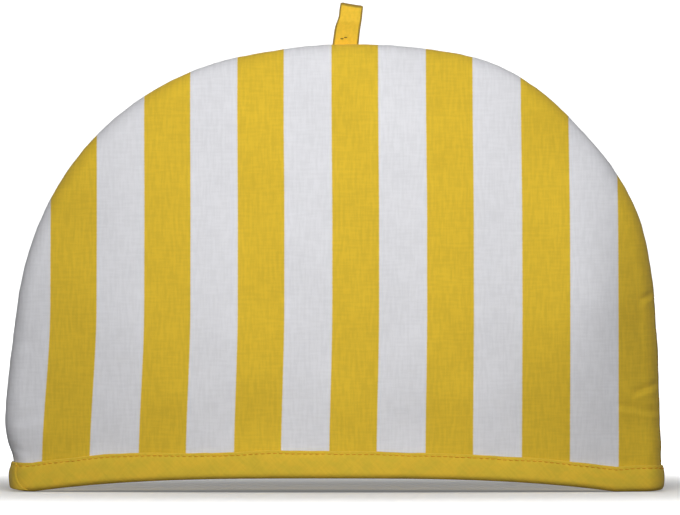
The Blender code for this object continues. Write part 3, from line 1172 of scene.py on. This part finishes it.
@dataclass
class HemBinding:
    """A folded strip of cotton round the hem, its lapped end at the left, and its stitching.

    Heights are above the binding's own lowest line. Offsets are out from the panels' middle line.

    Attributes:
        outer_leg: How high the strip stands outside the hem, and inner_leg inside it.
        cloth: How thick it is folded, and corner_cloth in the hem's corners, where it is tight.
        edge_radius: How far its folded edges are rounded.
        ease: The gap between it and the panels.
        barrel: How far its outer face swells about barrel_middle, and corner_barrel in the corners.
        left_lift: How far its left corner's fold is off the surface, and right_lift the right one's.
        left_rise: How much higher its outer edge is on the left. dip and right_drop lower it, and
            right_rise raises it again.
        sag: The share of the hem's arch by which it hangs lower than the panels.
        row_pull: How far the stitching draws the face in, and hole_pull more at each needle hole.
        hole_depth: How deep each hole's own dent is.
        row_waves: The share of face_waves that shows at the stitching. All of it does at free_below.
    """

    form: CosyForm
    line: HemLine
    outer_leg: float = 14.5 * MM
    inner_leg: float = 13.0 * MM
    cloth: float = 0.8 * MM
    corner_cloth: float = 0.45 * MM
    edge_radius: float = 0.35 * MM
    ease: float = 0.1 * MM
    fold_height: float = 3.0 * MM
    barrel: float = 0.55 * MM
    corner_barrel: float = 1.25 * MM
    barrel_middle: float = 6.2 * MM
    barrel_half: float = 8.3 * MM
    left_lift: float = 1.1 * MM
    right_lift: float = 0.6 * MM
    lift_reach: float = 8.0 * MM
    left_rise: float = 0.8 * MM
    left_rise_x: Span = (-110.0 * MM, -85.0 * MM)
    dip: float = 1.0 * MM
    dip_x: float = -68.0 * MM
    dip_width: float = 20.0 * MM
    right_drop: float = 1.45 * MM
    right_drop_x: Span = (-40.0 * MM, 90.0 * MM)
    right_rise: float = 0.9 * MM
    right_rise_x: Span = (140.0 * MM, 165.0 * MM)
    sag: float = 0.06
    stitch: float = 3.2 * MM
    row_below_edge: float = 1.7 * MM
    stations_per_stitch: int = 6
    row_pull: float = 0.08 * MM
    row_width: float = 0.9 * MM
    hole_pull: float = 0.08 * MM
    hole_depth: float = 0.30 * MM
    hole_width: float = 0.30 * MM
    hole_power: int = 6
    edge_waves: Waves = (
        (47 * MM, 0, 0.5, 0.10 * MM),
        (29 * MM, 0, 2.0, 0.09 * MM),
        (12.8 * MM, 0, 4.1, 0.05 * MM),
    )
    face_waves: Waves = (
        (52 * MM, 8, 1.0, 0.10 * MM),
        (31 * MM, -15, 3.2, 0.10 * MM),
        (17 * MM, 22, 0.3, 0.07 * MM),
        (9.5 * MM, -30, 5.0, 0.04 * MM),
    )
    free_below: Span = (0.0, 3.0 * MM)
    row_waves: float = 0.35

    @property
    def stitches(self) -> int:
        """How many stitches go round."""
        return round(self.line.length / self.stitch)

    @property
    def pitch(self) -> float:
        """From one stitch to the next, so that a whole number goes round."""
        return self.line.length / self.stitches

    def lift(self, distance: Array) -> Array:
        """How far each corner's lower fold stands off the surface: a bell round each end of the hem.

        Args:
            distance: Distances round the hem.

        Returns:
            The lift at each.
        """
        left = bell(self.line.from_end(distance, 0.0), self.lift_reach)
        right = bell(self.line.from_end(distance, self.line.length / 2), self.lift_reach)
        return self.left_lift * left + self.right_lift * right

    def base(self, distance: Array) -> Array:
        """Height of the binding's lowest line: the hem's arch, and the lift at each corner."""
        return (1 - self.sag) * self.form.arch(self.line.at(distance)[0][..., 0]) + self.lift(distance)

    def edge_height(self, distance: Array) -> Array:
        """Height of the outer leg's folded edge above the lowest line: it is sewn on a little unevenly.

        Args:
            distance: Distances round the hem.

        Returns:
            The height at each.
        """
        x = self.line.at(distance)[0][..., 0]
        uneven = self.left_rise * (1 - smoothstep(*self.left_rise_x, x))
        uneven -= self.dip * bell(x - self.dip_x, self.dip_width)
        uneven -= self.right_drop * smoothstep(*self.right_drop_x, x)
        uneven += self.right_rise * smoothstep(*self.right_rise_x, x) + self.sag * self.form.arch(x)
        return self.outer_leg + uneven + waves(distance, 0.0, self.edge_waves) - self.lift(distance)

    def cloth_at(self, distance: Array) -> Array:
        """The folded cloth's thickness: less at the corners, where it is pulled tight."""
        corner = self.form.corner(self.line.at(distance)[2])
        return self.cloth + (self.corner_cloth - self.cloth) * corner

    def skin(self, distance: Array, height: Array) -> Array:
        """Offset of the outer face: a barrel below the stitching, which draws it in at each needle hole.

        Args:
            distance: Distances round the hem.
            height: Heights above the binding's lowest line.

        Returns:
            Offsets from the middle line.
        """
        reach = self.line.at(distance)[2]
        barrel = self.barrel + (self.corner_barrel - self.barrel) * self.form.corner(reach)
        swell = np.clip(1 - ((height - self.barrel_middle) / self.barrel_half) ** 2, 0, 1)
        offset = self.form.hem_half(reach) + self.ease + self.cloth_at(distance) + barrel * swell
        below_row = height - (self.edge_height(distance) - self.row_below_edge)
        # 1 at each needle hole and 0 in the middle of each stitch.
        hole = np.cos(math.pi * distance * self.stitches / self.line.length) ** 2
        offset -= (self.row_pull + self.hole_pull * hole) * bell(below_row, self.row_width)
        offset -= self.hole_depth * hole**self.hole_power * bell(below_row, self.hole_width)
        free = self.row_waves + (1 - self.row_waves) * smoothstep(*self.free_below, -below_row)
        return offset + waves(distance, height, self.face_waves) * free

    def place(self, distance: Array, offset: Array, height: Array) -> Array:
        """Points at these offsets from the panels' middle line and at these heights.

        Args:
            distance: Distances round the hem.
            offset: Offsets from the middle line, out of the cosy.
            height: Heights above the binding's lowest line.

        Returns:
            The points.
        """
        middle, normals, _ = self.line.at(distance)
        x = middle[..., 0] + offset * normals[..., 0]
        y = middle[..., 1] + offset * normals[..., 1]
        return np.stack([x, y, self.base(distance) + height], axis=-1)

    def on_face(self, distance: Array, height: Array, out: float | Array, side: int = 1) -> Array:
        """Points this far off the outer face (side 1), or as far off the inner one (side -1)."""
        return self.place(distance, side * (self.skin(distance, height) + out), height)

    def leg(self, top: Array, shares: Array) -> Array:
        """Heights at these shares of the way from the fold to where an edge's rounding begins."""
        return self.fold_height + (top - self.edge_radius - self.fold_height) * shares

    def section(self, distance: Array) -> tuple[Array, Array, Array]:
        """The closed section of the folded strip at each distance.

        Down the outer face, round the fold (a half ellipse), up the inner face, over its edge, back
        down and up the inside of the cloth, and over the outer edge.

        Args:
            distance: A column of distances round the hem.

        Returns:
            Offsets and heights, with a row for each distance, and the cloth's V, once right round.
        """
        outer_top, inner_top = self.edge_height(distance), np.full_like(distance, self.inner_leg)
        outer, inner = self.leg(outer_top, OUTER_SHARES), self.leg(inner_top, INNER_SHARES)
        inside, outside = self.leg(inner_top, GROOVE_SHARES), self.leg(outer_top, GROOVE_SHARES[::-1])
        outer_skin, inner_skin = self.skin(distance, outer), -self.skin(distance, inner)
        fold_skin = self.skin(distance, np.full_like(distance, self.fold_height)) * np.cos(FOLD_TURNS)
        fold = np.broadcast_to(self.fold_height * (1 - np.sin(FOLD_TURNS)), fold_skin.shape)
        cloth = self.cloth_at(distance)
        half, over = cloth / 2, self.edge_radius * np.sin(EDGE_TURNS)
        inner_edge = inner_skin[:, -1:] + half - half * np.cos(EDGE_TURNS)
        outer_edge = outer_skin[:, :1] - half - half * np.cos(EDGE_TURNS)
        inside_skin = cloth - self.skin(distance, inside)
        outside_skin = self.skin(distance, outside) - cloth
        offsets = [outer_skin, fold_skin, inner_skin, inner_edge, inside_skin, outside_skin, outer_edge]
        heights = [outer, fold, inner, inner[:, -1:] + over, inside, outside, outer[:, :1] + over]
        offsets, heights = np.hstack(offsets), np.hstack(heights)
        steps = [np.diff(row, axis=1, append=row[:, :1]) for row in (offsets, heights)]
        return offsets, heights, travelled(np.hypot(*steps).mean(axis=0))

    def build_strip(self, finish: Material) -> Object:
        """Makes the folded strip: its section, swept round the hem.

        Args:
            finish: The binding's cotton.

        Returns:
            The strip.
        """
        count = self.stitches * self.stations_per_stitch
        around = np.arange(count + 1) * self.line.length / count
        distance = around[:-1, None]
        offsets, heights, across = self.section(distance)
        points = self.place(distance, offsets, heights)
        index = np.pad(np.arange(offsets.size).reshape(offsets.shape), ((0, 1), (0, 1)), mode="wrap")
        quads = corners(index)
        cloth = corners(np.stack(np.meshgrid(around, across, indexing="ij"), axis=-1))
        surface = Surface(points.reshape(-1, 3), quads, cloth, np.zeros(len(quads)))
        return dress(surface.piece("hem_strip", [finish]), "binding_cotton", "hem_binding")

    def build(self, cotton: Material, thread: Material) -> Object:
        """Makes the binding: the folded strip, its lapped end and its stitching.

        Args:
            cotton: The binding's cotton.
            thread: The sewing thread.

        Returns:
            The folded strip.
        """
        strip = self.build_strip(cotton)
        lap = LappedEnd(self).build(cotton)
        stitching = HemStitching(self).build(thread)
        return strip


@dataclass
class LappedEnd:
    """The strip's own end, folded under on the slant and lapped round the hem's left corner.

    Attributes:
        back: Where it begins, on the back panel, as a distance round the hem.
        front: Where its end is at the top, on the front panel.
        foot: How much further its end runs at the bottom, on a curve as high as bend.
        bottom: Where its lower edge is. The upper one is below_edge under the strip's own.
        cloth: How thick it is, but for its tucked edges, which have tucked_share of it.
        stand_off: How far it stands off the strip. Its back is sunk into it.
        groove: How deep the groove behind its end is.
    """

    binding: HemBinding
    columns: int = 60
    rows: int = 40
    back: float = -15.0 * MM
    front: float = 7.9 * MM
    foot: float = 8.0 * MM
    bend: float = 3.6 * MM
    bottom: float = 0.6 * MM
    below_edge: float = 0.15 * MM
    cloth: float = 0.45 * MM
    end_tuck: Span = (1.0, 0.96)
    bottom_tuck: Span = (0.0, 0.05)
    top_tuck: Span = (1.0, 0.97)
    tucked_share: float = 0.35
    stand_off: float = 0.05 * MM
    sunk: float = 0.25 * MM
    groove: float = 0.16 * MM
    groove_place: float = 1.7 * MM
    groove_width: float = 0.35 * MM

    def build(self, finish: Material) -> Object:
        """Makes the lapped end, which stops on a curve: e to the power of minus height / bend.

        Args:
            finish: The binding's cotton.

        Returns:
            The lapped end.
        """
        along, up = np.meshgrid(np.linspace(0, 1, self.columns + 1), np.linspace(0, 1, self.rows + 1))
        top = float(self.binding.edge_height(np.array(self.front))) - self.below_edge
        height = self.bottom + (top - self.bottom) * up
        end = self.front + self.foot * np.exp(-height / self.bend)
        distance = self.back + (end - self.back) * along
        full = smoothstep(*self.end_tuck, along) * smoothstep(*self.bottom_tuck, up)
        full = self.tucked_share + (1 - self.tucked_share) * (full * smoothstep(*self.top_tuck, up))
        groove = self.groove * bell(end - distance - self.groove_place, self.groove_width)
        outer = self.binding.on_face(distance, height, self.stand_off + self.cloth * full - groove)
        inner = self.binding.on_face(distance, height, -self.sunk)
        index = np.arange(distance.size).reshape(distance.shape)
        cloth = np.stack([distance, height], axis=-1).reshape(-1, 2)
        surface = sheet_solid(outer.reshape(-1, 3), inner.reshape(-1, 3), corners(index), cloth)
        return dress(surface.piece("hem_lap", [finish]), "binding_cotton")


@dataclass
class HemStitching:
    """Both rows of lock stitch, outside and inside the hem.

    Attributes:
        radius: The thread's radius, and pressed how many radii it is pressed into the cloth.
        bow: How far a stitch bows out.
        start: Where a stitch begins, as a share of the way to the next, and length how long it is.
        unevenness: The standard deviation of the heights of the stitches' ends.
    """

    binding: HemBinding
    radius: float = 0.26 * MM
    bow: float = 0.32 * MM
    bow_power: float = 0.8
    pressed: float = 0.7
    start: float = 0.09
    length: float = 0.82
    inner_below_edge: float = 1.6 * MM
    unevenness: float = 0.06 * MM
    seed: int = 11

    def row(self, height: Array, first: Array, side: int) -> Surface:
        """A row of stitches, each a short thread that bows over the cloth and dives in at both ends.

        Args:
            height: Height of each stitch above the binding's lowest line.
            first: Distance at which each begins.
            side: 1 outside the hem and -1 inside it.

        Returns:
            All of them as one surface.
        """
        length = self.length * self.binding.pitch
        share = np.linspace(0, 1, THREAD_RINGS)
        random = np.random.default_rng(self.seed + side)
        distance = first[:, None] + length * share
        slope = random.normal(0, self.unevenness, (len(first), 1)) * (share - 0.5) * 2
        bow = self.bow * np.sin(math.pi * share) ** self.bow_power - self.radius * self.pressed
        middle = self.binding.on_face(distance, height[:, None] + slope, bow, side)
        normals = side * self.binding.line.at(distance)[1] * (1, 1, 0)
        return threads(middle, normals, self.radius, length, leftward=side < 0)

    def build(self, finish: Material) -> Object:
        """Makes both rows as one piece.

        Args:
            finish: The sewing thread.

        Returns:
            The stitching.
        """
        binding = self.binding
        first = (np.arange(binding.stitches) + self.start) * binding.pitch
        outer = self.row(binding.edge_height(first) - binding.row_below_edge, first, 1)
        inner = self.row(np.full(len(first), binding.inner_leg - self.inner_below_edge), first, -1)
        points = np.concatenate([outer.points, inner.points])
        quads = np.concatenate([outer.quads, inner.quads + len(outer.points)])
        cloth = np.concatenate([outer.cloth, inner.cloth])
        surface = Surface(points, quads, cloth, np.zeros(len(quads)))
        return dress(surface.piece("hem_stitching", [finish]), "binding_cotton")


# --- The hanging loop ------------------------------------------------------------------------------


@dataclass
class HangingLoop:
    """A short tape, doubled over, with both feet in the top of the seam.

    Attributes:
        opening: How far each side would stand out if it weren't drawn in.
        foot_x: Where its feet are, and foot_y how far in front of the seam and behind it they are.
        sunk: How far they are sunk into the seam, which fades out over sunk_below.
        bends: How its left edge runs in and out: a row has a height, a reach and a distance.
        bend_right: The share of each place across that counts for its right edge.
        dents: How its face dips and swells, as for the bends. Its back has dent_back of that.
        rolled: How much thicker it is at rolled_at, inside its edges, as a share.
        edge_least: The least square of its thickness at the edges, as a share.
        tack_across: Where each stitch of the tack starts across the tape, and tack_rise how high.
    """

    form: CosyForm
    thickness: float = 1.2 * MM
    foot_width: float = 14.0 * MM
    top_width: float = 12.0 * MM
    height: float = 21.0 * MM
    opening: float = 3.6 * MM
    neck_power: float = 0.35
    fold_power: float = 3.2
    foot_x: float = 6.3 * MM
    foot_y: float = 0.8 * MM
    foot_z: float = 237.4 * MM
    sunk: float = 1.4 * MM
    sunk_below: Span = (0.0, 3.0 * MM)
    lean: float = math.radians(9.5)
    steps: int = 150
    columns: int = 26
    fine_steps: int = 2000
    tape_length: float = 48.0 * MM
    bends: Waves = ((14.2 * MM, 3 * MM, 0.45 * MM), (8 * MM, 4 * MM, -0.35 * MM))
    bend_right: float = 0.35
    bend_power: float = 1.5
    dents: Waves = ((12.2 * MM, 1.9 * MM, -0.45 * MM), (6.5 * MM, 3.0 * MM, 0.20 * MM))
    dent_back: float = 0.4
    rolled: float = 0.25
    rolled_at: float = 0.8
    rolled_width: float = 0.16
    edge_power: int = 8
    edge_least: float = 0.01
    tack_across: tuple[float, ...] = (-0.45, -0.18)
    tack_rise: tuple[float, ...] = (3.1 * MM, 3.8 * MM)
    tack_length: float = 1.7 * MM
    tack_radius: float = 0.34 * MM
    tack_bow: float = 0.22 * MM

    def middle(self, way: Array, across: Array) -> Array:
        """The tape's middle surface: seen from the side a narrow U upside down, with its feet together.

        Its half width is the share of the height to the power of 0.35, times the square root of 1
        minus that share to the power of 3.2.

        Args:
            way: From -1 at the front foot, over the top, to 1 at the back one.
            across: From -1 at the tape's left edge to 1 at its right one.

        Returns:
            The points.
        """
        angle = way * math.pi
        share = (1 + np.cos(angle)) / 2
        rise = self.height * share
        spread = self.opening * share**self.neck_power * np.sqrt(1 - share**self.fold_power)
        y = spread * np.sign(way) + self.foot_y * np.sin(angle / 2)
        side = across * (self.foot_width + (self.top_width - self.foot_width) * share) / 2
        edge = np.where(across < 0, -across, self.bend_right * across) ** self.bend_power
        side = side + bells(rise, self.bends) * edge
        x = self.foot_x + self.form.centring + side + rise * math.tan(self.lean)
        z = self.foot_z + rise - side * math.sin(self.lean) * smoothstep(0, 1, share)
        z = z - self.sunk * (1 - smoothstep(*self.sunk_below, rise))
        return np.stack([x, y, z], axis=-1)

    def even_way(self) -> Array:
        """Places from one foot to the other, evenly spaced along the tape.

        Returns:
            Ways from -1 to 1, as middle takes them.
        """
        fine = np.linspace(-1, 1, self.fine_steps + 1)
        line = self.middle(fine, np.zeros(fine.shape))
        travel = travelled(np.linalg.norm(np.diff(line, axis=0), axis=1))
        return np.interp(np.linspace(0, travel[-1], self.steps + 1), travel, fine)

    def build(self, tape: Material, thread: Material) -> Object:
        """Makes the tape and the tack that is sewn through it.

        Args:
            tape: The tape's cotton.
            thread: The sewing thread.

        Returns:
            The tape.
        """
        edge_to_edge = np.sin(np.linspace(-math.pi / 2, math.pi / 2, self.columns + 1))
        way, across = np.meshgrid(self.even_way(), edge_to_edge, indexing="ij")
        middle = self.middle(way, across)
        normals = -grid_normals(middle)
        # Both long edges are folded in and round, so the tape is thickest a little inside them.
        rolled = self.rolled * bell(np.abs(across) - self.rolled_at, self.rolled_width)
        half = self.thickness / 2 * (1 + rolled)
        half = half * np.sqrt(np.clip(1.0 - np.abs(across) ** self.edge_power, self.edge_least, 1))
        dent = bells(middle[..., 2] - self.foot_z, self.dents)
        dent = dent * np.where(middle[..., 1] < 0, 1.0, self.dent_back)
        middle = middle + dent[..., None] * normals
        index = np.arange(way.size).reshape(way.shape)
        along = np.broadcast_to(np.linspace(0, self.tape_length, self.steps + 1)[:, None], across.shape)
        cloth = np.stack([across * self.top_width / 2, along], axis=-1).reshape(-1, 2)
        outer, inner = middle + normals * half[..., None], middle - normals * half[..., None]
        surface = sheet_solid(outer.reshape(-1, 3), inner.reshape(-1, 3), corners(index)[:, ::-1], cloth)
        piece = dress(surface.piece("tape_loop", [tape]), "loop_tape", "hanging_loop")
        tack = self.build_tack(thread)
        return piece

    def build_tack(self, thread: Material) -> Object:
        """Makes the small stitches that hold the tape's front together above its foot.

        Args:
            thread: The sewing thread.

        Returns:
            The tack.
        """
        share = np.linspace(0, 1, THREAD_RINGS)
        start, rise = np.array(self.tack_across)[:, None], np.array(self.tack_rise)[:, None]
        across = start + self.tack_length / (self.foot_width / 2) * share
        way = np.broadcast_to(-np.arccos(2 * rise / self.height - 1) / math.pi, across.shape)
        middle = self.middle(way, across)
        middle[..., 1] -= self.thickness / 2 + self.tack_bow * np.sin(math.pi * share)
        surface = threads(middle, np.zeros_like(middle) + (0, -1, 0), self.tack_radius, self.tack_length)
        return dress(surface.piece("loop_tack", [thread]), "loop_tape")


# --- The studio ------------------------------------------------------------------------------------


class LightKind(Enum):
    """The two kinds of soft light: the value is Blender's name for it."""

    DISTANT = "SUN"
    BOX = "AREA"


@dataclass(frozen=True)
class SoftLight:
    """A soft light, aimed at the cosy.

    Attributes:
        azimuth: The way it comes from, in degrees: 0 in front of the cosy and 90 to its right.
        elevation: How high it stands, in degrees.
        power: Its strength: watts for a box.
        softness: How wide a distant light looks, in degrees, or a box's side in metres.
        distance: How far off a box stands.
        spread: How wide a box's grid lets its light spread, in degrees.
    """

    name: str
    kind: LightKind
    azimuth: float
    elevation: float
    power: float
    softness: float
    distance: float = 2.0
    spread: float = 180.0

    def build(self, target: Vector) -> Object:
        """Makes the light and turns it to face the target.

        Args:
            target: The point that it is aimed at.

        Returns:
            The light.
        """
        data = bpy.data.lights.new(self.name, self.kind.value)
        data.energy = self.power
        if self.kind is LightKind.BOX:
            data.size = self.softness
            data.spread = math.radians(self.spread)
        else:
            data.angle = math.radians(self.softness)
        turn, rise = math.radians(self.azimuth), math.radians(self.elevation)
        way = Vector((math.sin(turn) * math.cos(rise), -math.cos(turn) * math.cos(rise), math.sin(rise)))
        light = shown(self.name, data)
        light.location = target + way * self.distance
        light.rotation_euler = way.to_track_quat("Z", "Y").to_euler()
        return light


@dataclass
class Studio:
    """A pale floor, a white surround, soft lights and a level camera.

    Attributes:
        picture_width: How much of the cosy's middle plane the picture takes in, from side to side.
        centre: X and Z at the middle of the picture.
        camera_distance: How far in front of the cosy's middle plane the camera stands.
        surround: How bright the surround looks.
        ambient: How much light it sheds.
        floor_drop: How far below the cosy's lowest point the floor is.
        near_tone: How pale the floor looks beside the cosy, where it is darker as a painted shadow.
        far_tone: How pale it looks away from it.
        far_reach: How far out it has its far tone.
        shade_behind: How far behind the cosy's middle the painted shadow is deepest.
        floor_glow: A painted glow, seen only in view, that sets how bright its deepest shade looks.
        floor_bounce: How much of the light it throws back up.
        light_height: The height that the lights are aimed at.
    """

    picture_width: float = 361.8 * MM
    centre: Span = (2.4 * MM, 124.2 * MM)
    camera_distance: float = 6.0
    sensor: float = 36.0
    clip: float = 100.0
    surround: float = 1.15
    ambient: float = 0.065
    floor_size: float = 60.0
    floor_drop: float = 0.2 * MM
    near_tone: float = 0.72
    far_tone: float = 9.5
    far_reach: float = 1.2
    shade_behind: float = 0.05
    floor_glow: float = 0.15
    floor_bounce: float = 0.35
    light_height: float = 0.17
    lights: tuple[SoftLight, ...] = (
        SoftLight("key_light", LightKind.BOX, 0, 20, 0.62, 0.35, 1.6, 38),
        SoftLight("upper_light", LightKind.BOX, 0, 37, 0.88, 0.6, 1.3, 60),
        SoftLight("left_light", LightKind.DISTANT, -95, 12, 0.06, 30),
        SoftLight("right_light", LightKind.DISTANT, 95, 12, 0.02, 30),
        SoftLight("back_light", LightKind.DISTANT, 180, 4, 2.10, 20),
    )

    def build_camera(self) -> Object:
        """Makes the level camera, whose lens frames the picture's width at the cosy.

        Returns:
            The camera.
        """
        data = bpy.data.cameras.new("camera")
        data.sensor_width = self.sensor
        data.lens = self.sensor * self.camera_distance / self.picture_width
        data.clip_end = self.clip
        camera = shown("camera", data)
        camera.location = (self.centre[0], -self.camera_distance, self.centre[1])
        camera.rotation_euler = (math.radians(90), 0, 0)
        bpy.context.scene.camera = camera
        return camera

    def build_surround(self) -> None:
        """Makes the surround: white where it shows, and dimmer as a light."""
        world = bpy.data.worlds.new("surround")
        wiring = Wiring(world)
        shown = wiring.node("LightPath", {}, output="Is Camera Ray")
        strength = wiring.blend(shown, self.ambient, self.surround)
        wiring.feed(wiring.tree.nodes["Background"], {"Color": (1.0, 1.0, 1.0, 1.0), "Strength": strength})
        bpy.context.scene.world = world

    def floor_paper(self) -> Material:
        """Makes the floor's finish: pale in view, darker round the cosy as a painted shadow, paler further
        out, and grey where it throws light back.

        Returns:
            The finish.
        """
        material = bpy.data.materials.new("floor_paper")
        wiring = Wiring(material)
        wiring.tree.nodes.remove(wiring.tree.nodes["Principled BSDF"])
        shown = wiring.node("LightPath", {}, output="Is Camera Ray")
        place = wiring.node("TexCoord", {}, output="Object")
        place = wiring.node("Mapping", {"Vector": place, "Location": (0.0, -self.shade_behind, 0.0)})
        away = wiring.node("VectorMath", {0: place}, output="Value", operation="LENGTH")
        # Painted shadow: in view the floor is darker round the cosy and grows paler further out.
        fade = {0: away, 1: 0.0, 2: self.far_reach, 3: self.near_tone, 4: self.far_tone}
        pale = wiring.node("MapRange", fade, interpolation_type="SMOOTHERSTEP")
        matte = wiring.node("BsdfDiffuse", {"Color": wiring.blend(shown, self.floor_bounce, pale)})
        # Painted light: a glow that only the camera sees lifts the whole floor, its shadows too.
        glow = wiring.node("Emission", {"Strength": wiring.blend(shown, 0.0, self.floor_glow)})
        both = wiring.node("AddShader", {0: matte, 1: glow})
        wiring.feed(wiring.tree.nodes["Material Output"], {"Surface": both})
        return material

    def build_floor(self) -> Object:
        """Makes the floor, a large level square just under the cosy.

        Returns:
            The floor.
        """
        half = self.floor_size / 2
        mesh = bpy.data.meshes.new("floor")
        spots = [(-half, -half), (half, -half), (half, half), (-half, half)]
        mesh.from_pydata([(x, y, -self.floor_drop) for x, y in spots], [], [(0, 1, 2, 3)])
        mesh.materials.append(self.floor_paper())
        floor = shown("floor", mesh)
        return floor

    def build(self) -> None:
        """Makes the whole studio."""
        self.build_camera()
        self.build_surround()
        self.build_floor()
        target = Vector((self.centre[0], 0, self.light_height))
        for light in self.lights:
            light.build(target)
        bpy.context.scene.view_settings.view_transform = "Standard"
        LOG.info("studio: %d lights", len(self.lights))


def main() -> None:
    """Builds the studio and the dressed cosy."""
    logging.basicConfig(level=logging.INFO, format="%(name)s: %(message)s")
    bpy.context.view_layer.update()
    Studio().build()
    form = CosyForm()
    striped = StripedCotton().material()
    lining = PlainCotton("lining_cotton", (0.78, 0.77, 0.73), (0.75, 0.74, 0.70), Weave()).material()
    bias = Weave(turned_degrees=45, lift=0.03 * MM, slub_shade=0.035)
    binding = PlainCotton("binding_cotton", (0.815, 0.54, 0.044), (0.74, 0.52, 0.043), bias).material()
    tape_weave = Weave(thread=0.34 * MM, slub_length=3 * MM, slub_shade=0.05)
    tape = TapeCotton("tape_cotton", (0.96, 0.60, 0.048), (0.93, 0.59, 0.046), tape_weave).material()
    thread = SewingThread("sewing_thread", (0.82, 0.38, 0.02), (0.58, 0.23, 0.01)).material()
    tack_thread = SewingThread("tack_thread", (0.26, 0.13, 0.02), (0.12, 0.06, 0.01)).material()
    PaddedPanel(form, Side.FRONT, FRONT_CREASES, SideBulge()).build("front_panel", striped, lining)
    PaddedPanel(form, Side.BACK, BACK_CREASES).build("back_panel", striped, lining)
    HemBinding(form, HemLine(form)).build(binding, thread)
    HangingLoop(form).build(tape, tack_thread)
    bpy.context.view_layer.update()


if __name__ == "__main__":
    main()
